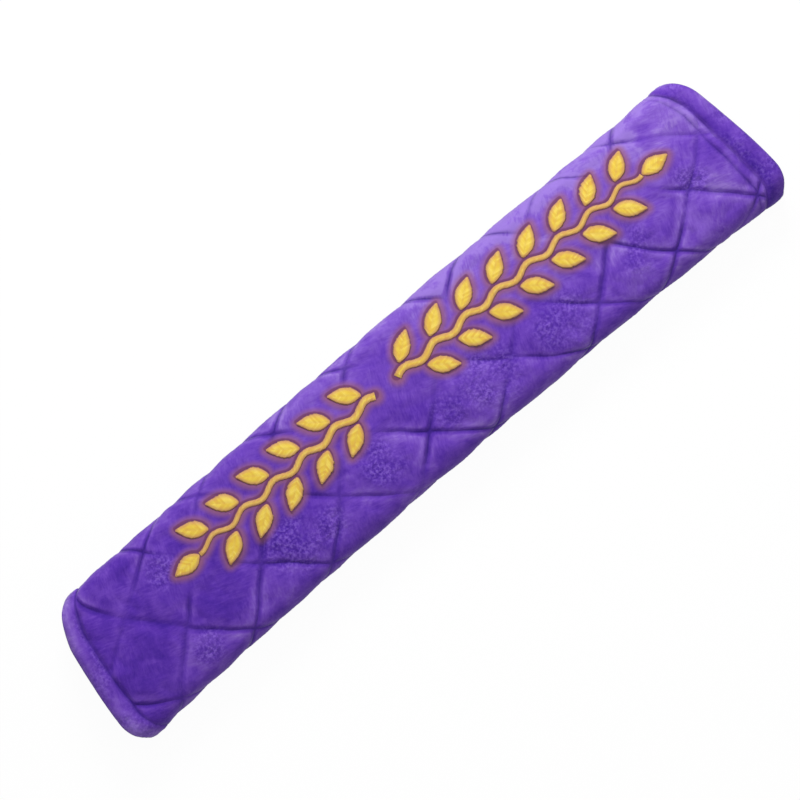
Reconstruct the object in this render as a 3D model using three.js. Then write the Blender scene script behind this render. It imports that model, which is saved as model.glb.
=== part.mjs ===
// Seat belt shoulder pad: a quilted plush sleeve that wraps around the belt and closes behind
// it with touch fastener tape. It lies on its closure with the embroidered face up.
// X runs along the belt, Y across it and Z up. Sizes are in millimetres.

import * as THREE from 'three';

// Outline of the closed pad
const LENGTH = 320;
const WIDTH = 59.5;
const END_SKEW = 5; // both ends lie this much further in at the rear long edge than at the front
const END_SWEEP = 1.4; // power of the gentle curve by which they get there
const CORNER_RADIUS = 11;
const FOLD_ROUNDING = 0.75; // share of the corner's round that the cloth keeps at its fold
const BOW = 2.7; // how far the middle of the pad bulges towards the rear edge
const END_FLARE = 0.6; // the pad spreads this much on each side towards its ends

// Layers of the cloth, from the outside to the belt
const PADDING = 3.8; // plush face and wadding, sewn through as one quilted laminate
const LINING = 0.6;
const FACE_GAP = 0.3; // clearance between two layers that lie on each other
const BELT_GAP = 5; // height of the belt passage at its two edges
const CROWN_TILT = THREE.MathUtils.degToRad(7); // slope of the face where it meets the folds

// Closure behind the belt
const TAPE_WIDTH = 22;
const TAPE_THICKNESS = 1;
const TAPE_EDGE = 2; // from a flap's free edge to its tape
const TAPE_END_MARGIN = 14; // from the pad's ends to the tapes' ends

// Hems
const END_HEM = 8.5;
const FLAP_HEM = 6.5;
const HEM_NOSE = 2.1; // how much thinner the padding is at the rounded rim of a hem
const HEM_EASE = 0.75; // share of an end hem's relief that is lost where the cloth turns a fold
const RIM_ROUNDING = 0.9;

// Diamond quilting
const DIAMOND_LENGTH = 38.8;
const DIAMOND_WIDTH = 34;
const SEAM_DEPTH = 1.5;
const PILLOW_REACH = 12; // from a seam to where its pillow is full
const CROSSING_X = -42; // one crossing of two seams on the face
const CROSSING_Y = -7.5;
const SEAM_DRIFT = 17; // the rows of diamonds shift this far forwards from one end to the other
const PRESSED = 0.4; // the underside's pillows are flattened this much where the pad lies
const STEPS_PER_DIAMOND = 8; // even, so that the mesh has a vertex at each crossing

// Embroidery: two leafy sprigs that grow outwards from a small gap
const SPRIG_Y = 8; // height of the stems above the middle of the face
const SPRIG_GAP = 11; // between the roots of the two sprigs
const SPRIG_GAP_X = -3.5; // middle of that gap
const LEFT_SPRIG_LENGTH = 100;
const RIGHT_SPRIG_LENGTH = 131;
const THREAD_RELIEF = 0.9;
const STEM_WIDTH = 3;
const STEM_WAVE = 1.2;
const LEAF_LENGTH = 12.5;
const LEAF_WIDTH = 6.4;
const LEAF_PITCH = 15; // between two leaves on the same side of a stem
const LEAF_ANGLE = THREE.MathUtils.degToRad(38);
const BAND_MARGIN = 2; // the quilting is flattened this far beyond the embroidery
const BAND_FADE = 6;
const BAND_SEAM = 0.1; // share of the seam depth that is left under the embroidery

const halfLength = LENGTH / 2;
const halfWidth = WIDTH / 2;
const cornerStart = halfWidth - CORNER_RADIUS; // from the pad's middle line
const liningStack = FACE_GAP + LINING;
const layer = PADDING + liningStack;
const leftRoot = SPRIG_GAP_X - SPRIG_GAP / 2;
const rightRoot = SPRIG_GAP_X + SPRIG_GAP / 2;
const sprigs = [
  { side: 'left', root: leftRoot, tip: leftRoot - LEFT_SPRIG_LENGTH },
  { side: 'right', root: rightRoot, tip: rightRoot + RIGHT_SPRIG_LENGTH },
];

// Radii of the two folds: the inner flap's fold turns around the belt passage only, and the
// outer flap's fold also turns around the inner flap and the closure.
const innerFlapHeight = PADDING + liningStack + 3 * FACE_GAP + 2 * TAPE_THICKNESS;
const innerFold = layer + BELT_GAP / 2;
const outerFold = innerFold + innerFlapHeight / (1 + Math.cos(CROWN_TILT));
const crownRadius =
  (WIDTH - (outerFold + innerFold) * (1 - Math.sin(CROWN_TILT))) / (2 * Math.sin(CROWN_TILT));
const flapLap = TAPE_WIDTH / 2 + TAPE_EDGE; // a flap's free edge beyond the middle of the pad

// Section of the pad's outer face, from the outer flap's free edge to the inner flap's
const sectionParts = [
  { length: flapLap + halfWidth - outerFold, radius: Infinity },
  { length: outerFold * (Math.PI - CROWN_TILT), radius: outerFold },
  { length: crownRadius * 2 * CROWN_TILT, radius: crownRadius },
  { length: innerFold * (Math.PI - CROWN_TILT), radius: innerFold },
  { length: flapLap + halfWidth - innerFold, radius: Infinity },
];
const [outerFlapPart, outerFoldPart, crownPart, innerFoldPart, innerFlapPart] = sectionParts;
const girth = sectionParts.reduce((sum, part) => sum + part.length, 0);
const faceMiddle = outerFlapPart.length + outerFoldPart.length + crownPart.length / 2;

function clamp01(value) {
  return Math.min(Math.max(value, 0), 1);
}

function ramp(value, from, to) {
  return clamp01((value - from) / (to - from));
}

// Point and outward direction of the section, `around` millimetres along it
function sectionAt(around) {
  let y = flapLap;
  let z = 0;
  let heading = Math.PI;
  let left = around;
  for (const { length, radius } of sectionParts) {
    const run = Math.min(left, length);
    const turned = heading - run / radius;
    if (radius === Infinity) {
      y += run * Math.cos(heading);
      z += run * Math.sin(heading);
    } else {
      y += radius * (Math.sin(heading) - Math.sin(turned));
      z += radius * (Math.cos(turned) - Math.cos(heading));
    }
    heading = turned;
    left -= run;
    if (left <= 0) break;
  }
  return { y, z, outY: -Math.sin(heading), outZ: Math.cos(heading) };
}

// How far the ends lie inside the full length, at a place across the pad
function endInset(y) {
  const skew = END_SKEW * Math.max(0, (y + cornerStart) / (2 * cornerStart)) ** END_SWEEP;
  const bend = ramp(Math.abs(y), cornerStart, halfWidth);
  return skew + CORNER_RADIUS * (1 - Math.sqrt(1 - FOLD_ROUNDING * bend ** 2));
}

// Place of a point of the flat pattern on the folded pad. `out` is the height above the inner
// face of the padding, so the outer face lies at PADDING.
function fold(along, around, out) {
  const { y, z, outY, outZ } = sectionAt(around);
  const reach = Math.abs(along) / halfLength;
  const x = along - Math.sign(along) * endInset(y) * ramp(reach, 0.6, 1);
  const spread = END_FLARE * ramp(reach, 0.7, 1 - END_HEM / halfLength);
  const bowed = BOW * (1 - (x / halfLength) ** 2);
  return new THREE.Vector3(
    x,
    (y + outY * (out - PADDING)) * (1 + spread / halfWidth) + bowed,
    z + outZ * (out - PADDING),
  );
}

// The rows of diamonds drift forwards along the face, and follow the hems on the flaps.
function drifted(along, around) {
  const fromHem = Math.min(
    ramp(around, FLAP_HEM, outerFlapPart.length + outerFoldPart.length / 2),
    ramp(girth - around, FLAP_HEM, innerFlapPart.length + innerFoldPart.length / 2),
  );
  return around - SEAM_DRIFT * fromHem * ((1 + along / halfLength) / 2) ** 2;
}

// Distances to the nearest seam that rises with X and to the nearest that falls
function seamDistances(along, around) {
  const u = (along - CROSSING_X) / DIAMOND_LENGTH;
  const v = (around - faceMiddle - CROSSING_Y) / DIAMOND_WIDTH;
  const spacing = (DIAMOND_LENGTH * DIAMOND_WIDTH) / Math.hypot(DIAMOND_LENGTH, DIAMOND_WIDTH);
  const off = (value) => Math.abs(value - Math.round(value)) * spacing;
  return { rising: off(u - v), falling: off(u + v) };
}

function pillowSink(distance) {
  return SEAM_DEPTH * clamp01(1 - distance / PILLOW_REACH) ** 2;
}

// A hem is round at its rim, full behind it and drawn down at its seam.
function hemSink(inset, hem) {
  if (inset >= hem) return pillowSink(inset - hem);
  const full = 0.45 * hem;
  if (inset < full) return HEM_NOSE * (1 - inset / full) ** 2;
  return SEAM_DEPTH * ((inset - full) / (hem - full)) ** 2;
}

const leafRise = LEAF_LENGTH * Math.sin(LEAF_ANGLE) + LEAF_WIDTH / 2;
const bandHalf = leafRise + STEM_WAVE + BAND_MARGIN;
const bandEnds = sprigs.map(({ tip }) => tip);

// Share of the quilting's depth that the dense embroidery and the loop tape leave
function quiltShare(along, around) {
  const fromStems = Math.abs(around - faceMiddle - SPRIG_Y);
  const across = 1 - ramp(fromStems, bandHalf - BAND_FADE, bandHalf);
  const beyond = Math.max(Math.min(...bandEnds) - along, along - Math.max(...bandEnds));
  const band = across * (1 - ramp(beyond, BAND_MARGIN, BAND_MARGIN + BAND_FADE));
  const underTape = ramp(girth - around, TAPE_EDGE + TAPE_WIDTH, TAPE_EDGE + TAPE_WIDTH + BAND_FADE);
  return (1 - (1 - BAND_SEAM) * band) * underTape;
}

// Height of the plush above the inner face of the padding. `pattern` is the place before the
// rows drift.
function plushHeight(along, pattern) {
  const insetX = halfLength - Math.abs(along);
  const insetY = Math.min(pattern, girth - pattern);
  const eased = 1 - HEM_EASE * ramp(Math.abs(sectionAt(pattern).y), cornerStart, halfWidth);
  let sink = Math.max(hemSink(insetX, END_HEM) * eased, hemSink(insetY, FLAP_HEM));
  if (insetX > END_HEM && insetY > FLAP_HEM) {
    const { rising, falling } = seamDistances(along, pattern);
    const around = drifted(along, pattern);
    sink = Math.max(sink, pillowSink(Math.min(rising, falling)) * quiltShare(along, around));
  }
  const outside = girth - pattern < TAPE_EDGE + TAPE_WIDTH && insetX > TAPE_END_MARGIN;
  if (outside && insetY > RIM_ROUNDING) sink = Math.min(sink, FACE_GAP);
  if (pattern < outerFlapPart.length && insetX > RIM_ROUNDING) sink = Math.max(0, sink - PRESSED);
  return PADDING - sink;
}

// Places of a row of mesh lines: a few across each hem, and the quilting's own lines between
function meshLines(low, high, hem, origin, step) {
  const hemLines = [0, 0.12, 0.45, 0.75, 1].map((share) => share * hem);
  const lines = hemLines.map((inset) => low + inset);
  const first = Math.ceil((low + hem - origin) / step + 0.4);
  const last = Math.floor((high - hem - origin) / step - 0.4);
  for (let index = first; index <= last; index += 1) lines.push(origin + index * step);
  return lines.concat(hemLines.map((inset) => high - inset).reverse());
}

const columnStep = DIAMOND_LENGTH / STEPS_PER_DIAMOND;
const rowStep = DIAMOND_WIDTH / STEPS_PER_DIAMOND;
const columns = meshLines(-halfLength, halfLength, END_HEM, CROSSING_X, columnStep);
const rows = meshLines(0, girth, FLAP_HEM, faceMiddle + CROSSING_Y, rowStep);

function between(lines, low, high, every = 1) {
  const inside = lines.filter((line) => line > low + 1 && line < high - 1);
  return [low, ...inside.filter((line, index) => index % every === 0), high];
}

function meshOf(name, vertices, triangles, material) {
  const geometry = new THREE.BufferGeometry().setFromPoints(vertices);
  geometry.setIndex(triangles);
  geometry.computeVertexNormals();
  const mesh = new THREE.Mesh(geometry, material);
  mesh.name = name;
  return mesh;
}

// A closed sheet that follows the folded pad. Each face has its own mesh lines and a function
// that gives a vertex of the pattern as [along, around, out]; a rim joins the two faces.
function wrappedSheet(name, outer, inner, material) {
  const vertices = [];
  const triangles = [];
  for (const face of [outer, inner]) {
    face.start = vertices.length;
    for (const around of face.rows) {
      for (const along of face.columns) vertices.push(fold(...face.vertex(along, around)));
    }
  }
  const at = (face, column, row) => face.start + row * face.columns.length + column;

  for (const face of [outer, inner]) {
    for (let row = 0; row < face.rows.length - 1; row += 1) {
      for (let column = 0; column < face.columns.length - 1; column += 1) {
        const middleX = (face.columns[column] + face.columns[column + 1]) / 2;
        const middleT = (face.rows[row] + face.rows[row + 1]) / 2;
        const { rising, falling } = seamDistances(middleX, middleT);
        const a = at(face, column, row);
        const b = at(face, column + 1, row);
        const c = at(face, column + 1, row + 1);
        const d = at(face, column, row + 1);
        const quad = falling < rising ? [a, b, d, b, c, d] : [a, b, c, a, c, d];
        triangles.push(...(face === outer ? quad : quad.reverse()));
      }
    }
  }

  // Two edges with different numbers of vertices are zipped together along their length.
  const zip = (outerEdge, outerPlaces, innerEdge, innerPlaces) => {
    let i = 0;
    let j = 0;
    while (i < outerEdge.length - 1 || j < innerEdge.length - 1) {
      const innerDone = j === innerEdge.length - 1;
      if (innerDone || (i < outerEdge.length - 1 && outerPlaces[i + 1] <= innerPlaces[j + 1])) {
        triangles.push(outerEdge[i + 1], outerEdge[i], innerEdge[j]);
        i += 1;
      } else {
        triangles.push(innerEdge[j], innerEdge[j + 1], outerEdge[i]);
        j += 1;
      }
    }
  };
  const alongRow = (face, row) => face.columns.map((_, column) => at(face, column, row));
  const alongColumn = (face, column) => face.rows.map((_, row) => at(face, column, row));
  const backwards = (places) => places.map((place) => -place).reverse();
  const lastRow = (face) => alongRow(face, face.rows.length - 1).reverse();
  const lastColumn = (face) => alongColumn(face, face.columns.length - 1);
  zip(alongRow(outer, 0), outer.columns, alongRow(inner, 0), inner.columns);
  zip(lastColumn(outer), outer.rows, lastColumn(inner), inner.rows);
  zip(lastRow(outer), backwards(outer.columns), lastRow(inner), backwards(inner.columns));
  zip(
    alongColumn(outer, 0).reverse(),
    backwards(outer.rows),
    alongColumn(inner, 0).reverse(),
    backwards(inner.rows),
  );
  return meshOf(name, vertices, triangles, material);
}

function plush() {
  return new THREE.MeshStandardMaterial({ color: 0x6a42b4, roughness: 1, metalness: 0 });
}

function tricot() {
  return new THREE.MeshStandardMaterial({ color: 0x4c3590, roughness: 0.8, metalness: 0 });
}

function wovenTape() {
  return new THREE.MeshStandardMaterial({ color: 0x3a3052, roughness: 0.9, metalness: 0 });
}

function satinThread() {
  return new THREE.MeshStandardMaterial({ color: 0xf0cf45, roughness: 0.45, metalness: 0 });
}

// The quilted panel: on its inner side the hems are turned in over the lining's edges.
function quiltedPanel() {
  const hemStep = (low, high, hem, lines) => [
    low + RIM_ROUNDING,
    low + hem - 3 * FACE_GAP,
    ...between(lines, low + hem - FACE_GAP, high - hem + FACE_GAP, 1),
    high - hem + 3 * FACE_GAP,
    high - RIM_ROUNDING,
  ];
  const coarse = between(columns, -halfLength + END_HEM, halfLength - END_HEM, 4).slice(1, -1);
  const inHem = (along, around) =>
    halfLength - Math.abs(along) < END_HEM - 2 * FACE_GAP ||
    Math.min(around, girth - around) < FLAP_HEM - 2 * FACE_GAP;
  return wrappedSheet(
    'quilted_panel',
    {
      columns,
      rows,
      vertex: (along, around) => [along, drifted(along, around), plushHeight(along, around)],
    },
    {
      columns: hemStep(-halfLength, halfLength, END_HEM, coarse),
      rows: hemStep(0, girth, FLAP_HEM, rows),
      vertex: (along, around) => [along, around, inHem(along, around) ? -liningStack : 0],
    },
    plush(),
  );
}

function flatLayer(name, sheetColumns, sheetRows, low, high, material) {
  const face = (out) => ({
    columns: sheetColumns,
    rows: sheetRows,
    vertex: (along, around) => [along, around, out],
  });
  return wrappedSheet(name, face(high), face(low), material);
}

function liningSheet() {
  const liningColumns = between(columns, -halfLength + END_HEM, halfLength - END_HEM, 4);
  const liningRows = between(rows, FLAP_HEM, girth - FLAP_HEM);
  return flatLayer('lining', liningColumns, liningRows, -liningStack, -FACE_GAP, tricot());
}

// The hook tape lies on the outer flap's lining, and the loop tape under the inner flap.
function closureTapes() {
  const end = halfLength - TAPE_END_MARGIN;
  const tapeColumns = between(columns, -end, end, 4);
  const hookRows = [TAPE_EDGE, TAPE_EDGE + TAPE_WIDTH];
  const loopRows = [girth - TAPE_EDGE - TAPE_WIDTH, girth - TAPE_EDGE];
  const hookTop = -liningStack - FACE_GAP;
  const loopLow = PADDING + FACE_GAP;
  return [
    flatLayer('hook_tape', tapeColumns, hookRows, hookTop - TAPE_THICKNESS, hookTop, wovenTape()),
    flatLayer('loop_tape', tapeColumns, loopRows, loopLow, loopLow + TAPE_THICKNESS, wovenTape()),
  ];
}

// Satin stitch raised over a line of the face. `line` gives the middle line as [x, y] and the
// half width at shares from 0 to 1 of its length.
function satinStitch(name, line, stations) {
  const profile = [[-1, 0], [-0.6, 0.8], [0, 1], [0.6, 0.8], [1, 0]];
  const vertices = [];
  const triangles = [];
  for (let station = 0; station <= stations; station += 1) {
    const share = station / stations;
    const { x, y, half } = line(share);
    const before = line(Math.max(0, share - 0.01));
    const after = line(Math.min(1, share + 0.01));
    const run = new THREE.Vector2(after.x - before.x, after.y - before.y).normalize();
    for (const [side, rise] of profile) {
      const out = PADDING + FACE_GAP + rise * THREAD_RELIEF;
      const along = x - run.y * side * half;
      const around = faceMiddle + y + run.x * side * half;
      vertices.push(fold(along, around, out));
    }
  }
  const count = profile.length;
  for (let station = 0; station < stations; station += 1) {
    for (let corner = 0; corner < count; corner += 1) {
      const next = (corner + 1) % count;
      const a = station * count + corner;
      const b = station * count + next;
      triangles.push(a, a + count, b, b, a + count, b + count);
    }
  }
  const end = stations * count;
  for (let corner = 1; corner < count - 1; corner += 1) {
    triangles.push(0, corner, corner + 1);
    triangles.push(end, end + corner + 1, end + corner);
  }
  return meshOf(name, vertices, triangles, satinThread());
}

function stemHeight(distance) {
  return SPRIG_Y + STEM_WAVE * Math.sin((2 * Math.PI * distance) / LEAF_PITCH);
}

// A sprig: a waved stem with leaves that leave it on alternate sides, and a leaf at its tip
function sprig({ side, root, tip }) {
  const growth = Math.sign(tip - root);
  const stemLength = Math.abs(tip - root) - LEAF_LENGTH - FACE_GAP;
  const stem = satinStitch(
    `embroidered_stem_${side}`,
    (share) => ({
      x: root + growth * share * stemLength,
      y: stemHeight(share * stemLength),
      half: (STEM_WIDTH / 2) * (1 - 0.4 * share),
    }),
    Math.round(stemLength / (LEAF_PITCH / 4)),
  );
  const leaf = (number, distance, upDown) => {
    const angle = LEAF_ANGLE * upDown;
    const clear = (STEM_WIDTH / 2 + FACE_GAP) * upDown + 0.12 * LEAF_WIDTH * upDown;
    return satinStitch(
      `embroidered_leaf_${side}_${String(number).padStart(2, '0')}`,
      (share) => ({
        x: root + growth * (distance + share * LEAF_LENGTH * Math.cos(angle)),
        y: stemHeight(distance) + clear + share * LEAF_LENGTH * Math.sin(angle),
        half: (LEAF_WIDTH / 2) * (0.1 + 0.9 * Math.sin(Math.PI * share ** 0.85)),
      }),
      6,
    );
  };
  const leaves = [];
  const spots = Math.floor((stemLength - LEAF_PITCH / 4) / (LEAF_PITCH / 2));
  for (let spot = 0; spot < spots; spot += 1) {
    const upDown = spot % 2 === 0 ? 1 : -1;
    leaves.push(leaf(spot + 1, (spot + 0.5) * (LEAF_PITCH / 2), upDown));
  }
  leaves.push(leaf(spots + 1, stemLength + FACE_GAP, 0));
  return [stem, ...leaves];
}

const pad = new THREE.Group();
pad.add(quiltedPanel(), liningSheet(), ...closureTapes(), ...sprigs.flatMap(sprig));

// The origin is the middle of the pad's box, at the height of what it lies on.
const box = new THREE.Box3().setFromObject(pad);
const middle = box.getCenter(new THREE.Vector3());
pad.position.set(-middle.x, -middle.y, -box.min.z);

export default pad;
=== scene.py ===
"""Seat belt shoulder pad: the looks of a quilted violet plush sleeve with yellow satin stitch.

Soft pieces are laid out as a flat pattern in millimetres and folded around the belt. `along` runs
the length of the pad, `around` runs across the cloth from the outer flap's free edge to the inner
flap's, and `out` is the height above the inner face of the padding.
"""

import math

import bpy
import numpy as np
from mathutils import Matrix, Vector


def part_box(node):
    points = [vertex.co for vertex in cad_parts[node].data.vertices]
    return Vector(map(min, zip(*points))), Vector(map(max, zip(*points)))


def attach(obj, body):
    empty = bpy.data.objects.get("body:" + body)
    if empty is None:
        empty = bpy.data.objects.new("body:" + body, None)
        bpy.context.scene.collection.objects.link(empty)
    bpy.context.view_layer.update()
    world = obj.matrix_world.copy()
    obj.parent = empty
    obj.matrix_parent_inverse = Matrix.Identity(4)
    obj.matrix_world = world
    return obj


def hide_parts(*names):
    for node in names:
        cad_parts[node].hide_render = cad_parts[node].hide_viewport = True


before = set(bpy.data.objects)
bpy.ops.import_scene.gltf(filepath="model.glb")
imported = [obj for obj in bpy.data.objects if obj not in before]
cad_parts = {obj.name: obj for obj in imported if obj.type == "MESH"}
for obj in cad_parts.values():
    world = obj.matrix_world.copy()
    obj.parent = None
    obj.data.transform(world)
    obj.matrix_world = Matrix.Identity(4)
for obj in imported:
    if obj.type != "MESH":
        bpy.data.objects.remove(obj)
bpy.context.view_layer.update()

MM = 0.001
PHOTO_PIXELS = 800

# Outline of the closed pad
LENGTH = 320.0
WIDTH = 59.5
END_SKEW = 5.0
END_SWEEP = 1.4
CORNER_RADIUS = 11.0
FOLD_ROUNDING = 0.75
BOW = 2.7
END_FLARE = 0.6
SKEW_START = 0.6  # share of the way from the middle to an end
FLARE_START = 0.7
CORNER_PULL = 1.7  # how far the seam draws in the upper corner of the left end
CORNER_PULL_ACROSS = (13, 24)  # from the face's middle line, where that starts and is complete
CORNER_PULL_LENGTH = 25.0

# Layers of the cloth
PADDING = 3.8
LINING = 0.6
FACE_GAP = 0.3
BELT_GAP = 5.0
CROWN_TILT = math.radians(7)
TAPE_WIDTH = 22.0
TAPE_THICKNESS = 1.0
TAPE_EDGE = 2.0
TAPE_MARGIN = 1.0  # of flat pile round the loop tape

# Hems
END_HEM = 8.5
FLAP_HEM = 6.5
HEM_NOSE = 2.1
HEM_NOSE_SHARE = 0.45  # of the hem's width
HEM_EASE = 0.75  # share of an end hem's relief that is lost round the folds
HEM_STRAY = [(0.8, 13, 35), (0.35, 4.5, 36)]  # how far its seam strays: height, cell and seed
END_STEEPNESS = (5, 4)  # of an end hem and of the field beside its seam
FLAP_STEEPNESS = (2, 2)
RIM_LINES = 3
RIM_RADIUS = 1.3
RIM_DROP = 1.9  # how far the outer face turns down round a rim

# Quilting: where each seam crosses the middle line of the face, and how far it leans
DIAMOND_LENGTH = 38.8
FALLING_SEAMS = [
    (-172, 1.16), (-127, 0.96), (-91, 1.04), (-54.6, 1.15), (-18, 1.19),
    (22, 1.3), (56, 1.06), (90, 0.87), (122, 0.91), (154, 1.39),
]
RISING_SEAMS = [
    (-146, 1.5), (-108, 0.95), (-70.5, 1.0), (-34, 0.9), (13, 1.1),
    (52, 1.1), (96, 1.07), (140, 1.3), (179, 1.2),
]
MEAN_LEAN = 1.13
LEAN_REACH = 32.0  # past this far from the middle line all seams lean alike
SEAM_STRAY = [(1.2, 16, 5), (0.5, 6, 6)]  # how far they stray: height, cell and seed
DIAMOND_SEED = 7
SEAM_DEPTH = 1.5
PILLOW_REACH = 12.0
SEAM_PITCH = 24.0  # from one seam to the next of its family, straight across
FOLD_SEAM = 0.45  # share of a seam's depth that is left round the folds
PLUMPNESS = 0.75  # below 1 a pillow rises steeply from its seams
PILE_PARTING = 0.7  # how deep the pile opens over a seam
PARTING_REACH = 1.1
FOLD_SMOOTHING = 0.8  # share of that which is lost round the folds
FOLD_EDGE = 2.0  # the folds count as turned this far before the outline
END_SEAM_DEPTH = 1.1
SEAM_UNEVEN = (0.68, 0.65, 13, 11, 0.15)  # mean, spread, cell, seed and least share of its depth
HEM_UNEVEN = (0.8, 0.5, 9, 37, 0.3)
SHOULDER_UNEVEN = (0.8, 0.5, 8, 39, 0.3)
CREASE_REACH = 0.9
FIELD_START = (-0.5, 1.0)  # from a hem's seam, where the quilting starts and is full
SHOULDER = 3.4  # from the right hem's seam to a crease beside it
SHOULDER_ALONG = (100, 140)
SHOULDER_AROUND = (-40, -20)  # short of the middle of the cloth
SHOULDER_DEPTH = 0.9

# How pale the pile lies at the middle of the face, and the painted light and shade laid over it: paler
# towards the rear edge and the right end, deeper towards the front edge and the left end, and a painted
# sheen towards both folds
NAP_MIDDLE = -0.05
PAINTED_LIGHT_ACROSS = 0.22
PAINTED_LIGHT_ALONG = 0.15
PAINTED_SHEEN_TOWARDS_FOLDS = 0.15
NAP_LENGTH = 80.0
PAINTED_LIGHT_TWIST = 0.45  # share of the painted light across that grows from the left end to the right
NAP_DIAMONDS = 0.05
NAP_CLOUDS = 0.07
# Painted light on the end hems: the left one paler, the right one deeper
LEFT_HEM_PAINTED_LIGHT = 0.38
RIGHT_HEM_PAINTED_LIGHT = -0.14
HEM_TURN = (3, 7)  # from an end, where painted shade deepens towards the hem's seam
HEM_SEAM_PAINTED_SHADE = 0.3

# The pile's relief
LUMP_HEIGHT = 0.4  # along the end hems
LUMP_FADE = 5.0
NAP_HEIGHTS = (0.16, 0.1)
TUFT_HEIGHTS = (0.05, 0.16)  # everywhere, and how much more in tufted patches
FUZZ_HEIGHTS = (0.03, 0.04)  # everywhere, and how much more round the folds
TUFT_FADE = 0.7  # share of the tufts' height that is lost round the folds
SHIFT_LIMIT = 0.6  # how far a pillow may lean over its seam

# Embroidery
SPRIG_Y = 8.0
SPRIG_GAP = 11.0
SPRIG_GAP_X = -3.5
LEFT_SPRIG_LENGTH = 100.0
RIGHT_SPRIG_LENGTH = 131.0
THREAD_RELIEF = 0.5
THREAD_HEIGHT = 0.11  # of each strand, over that
STITCH_REACH = 5.0  # how far round the embroidery the pile is crushed
SUNK_BY = 0.25  # how far the pile stands up round the embroidery
RAISED_PILE = (0.3, 0.8)  # nearness to the stitches, from 0 to 1, where that starts and is full
CALM_PILE = (0.5, 0.8)  # and where the crushed pile gets smooth
SHADE_SHIFT = 0.7  # its shadow on the pile reaches this much further on its upper side
PEACH_EDGE = 1.6  # how far in the thread's edge colour, partly painted shade, reaches
END_TAPER = 0.9  # from an end of a stitched area to its full height
STEM_WIDTH = 3.0
STEM_WAVE = 1.2
LEAF_LENGTH = 12.5
LEAF_WIDTH = 6.4
LEAF_PITCH = 15.0
LEAF_ANGLE = math.radians(38)
LEAF_TIP = 0.1  # its ends' share of a leaf's width
LEAF_BELLY = 0.85  # below 1 a leaf is widest nearer to its root
LEAF_STANDOFF = 0.12  # from its stem, as a share of the leaf's width
STEM_TAPER = 0.4
THREAD_PITCH = 0.85  # drawn twice as coarse as embroidery thread, so that it shows
BAND_MARGIN = 2.0
BAND_SPILL = 1.0
BAND_FADE = 6.0
BAND_END_FADE = 10.0
BAND_SEAM = 0.12  # share of a seam's depth that the embroidery leaves

half_length = LENGTH / 2
half_width = WIDTH / 2
corner_start = half_width - CORNER_RADIUS
lining_stack = FACE_GAP + LINING
layer = PADDING + lining_stack
inner_flap_height = layer + 3 * FACE_GAP + 2 * TAPE_THICKNESS
inner_fold = layer + BELT_GAP / 2
outer_fold = inner_fold + inner_flap_height / (1 + math.cos(CROWN_TILT))
crown_radius = (WIDTH - (outer_fold + inner_fold) * (1 - math.sin(CROWN_TILT))) / (
    2 * math.sin(CROWN_TILT)
)
flap_lap = TAPE_WIDTH / 2 + TAPE_EDGE
left_root = SPRIG_GAP_X - SPRIG_GAP / 2
right_root = SPRIG_GAP_X + SPRIG_GAP / 2
SPRIGS = [
    ("left", left_root, left_root - LEFT_SPRIG_LENGTH),
    ("right", right_root, right_root + RIGHT_SPRIG_LENGTH),
]

# The section of the outer face: length and radius of each part, a straight part with none
SECTION = [
    (flap_lap + half_width - outer_fold, None),
    (outer_fold * (math.pi - CROWN_TILT), outer_fold),
    (crown_radius * 2 * CROWN_TILT, crown_radius),
    (inner_fold * (math.pi - CROWN_TILT), inner_fold),
    (flap_lap + half_width - inner_fold, None),
]
girth = sum(length for length, _ in SECTION)
face_middle = SECTION[0][0] + SECTION[1][0] + SECTION[2][0] / 2


def ramp(value, low, high):
    return np.clip((value - low) / (high - low), 0, 1)


def smooth(value, low, high):
    share = ramp(value, low, high)
    return share * share * (3 - 2 * share)


def section_at(around):
    """Place and outward direction of points of the section, as y, z, out_y, out_z."""
    around = np.clip(np.asarray(around, float), 0, girth)
    y = np.full_like(around, flap_lap)
    z = np.zeros_like(around)
    heading = np.full_like(around, math.pi)
    start = 0.0
    for length, radius in SECTION:
        run = np.clip(around - start, 0, length)
        if radius is None:
            y = y + run * np.cos(heading)
            z = z + run * np.sin(heading)
        else:
            turned = heading - run / radius
            y = y + radius * (np.sin(heading) - np.sin(turned))
            z = z + radius * (np.cos(turned) - np.cos(heading))
            heading = turned
        start += length
    return y, z, -np.sin(heading), np.cos(heading)


def end_inset(y):
    """How far the ends lie inside the pad's length: they slant, and their corners are round."""
    skew = END_SKEW * np.maximum(0, (y + corner_start) / (2 * corner_start)) ** END_SWEEP
    bend = ramp(np.abs(y), corner_start, half_width)
    return skew + CORNER_RADIUS * (1 - np.sqrt(1 - FOLD_ROUNDING * bend**2))


# The solids are centred on their box. The hook tape's edge says how far that moved the pattern.
shift_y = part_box("hook_tape")[1].y / MM - (flap_lap - TAPE_EDGE + BOW)


def fold(along, around, out):
    """Place in the frame, in metres, of points of the flat pattern."""
    along, around, out = np.broadcast_arrays(*(np.asarray(v, float) for v in (along, around, out)))
    y, z, out_y, out_z = section_at(around)
    reach = np.abs(along) / half_length
    x = along - np.sign(along) * end_inset(y) * ramp(reach, SKEW_START, 1)
    at_left_end = smooth(-along, half_length - CORNER_PULL_LENGTH, half_length)
    x = x + CORNER_PULL * smooth(y, *CORNER_PULL_ACROSS) * at_left_end
    spread = END_FLARE * ramp(reach, FLARE_START, 1 - END_HEM / half_length)
    bowed = BOW * (1 - (x / half_length) ** 2) + shift_y
    across = (y + out_y * (out - PADDING)) * (1 + spread / half_width) + bowed
    return np.stack([x, across, z + out_z * (out - PADDING)], axis=-1) * MM


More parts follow.
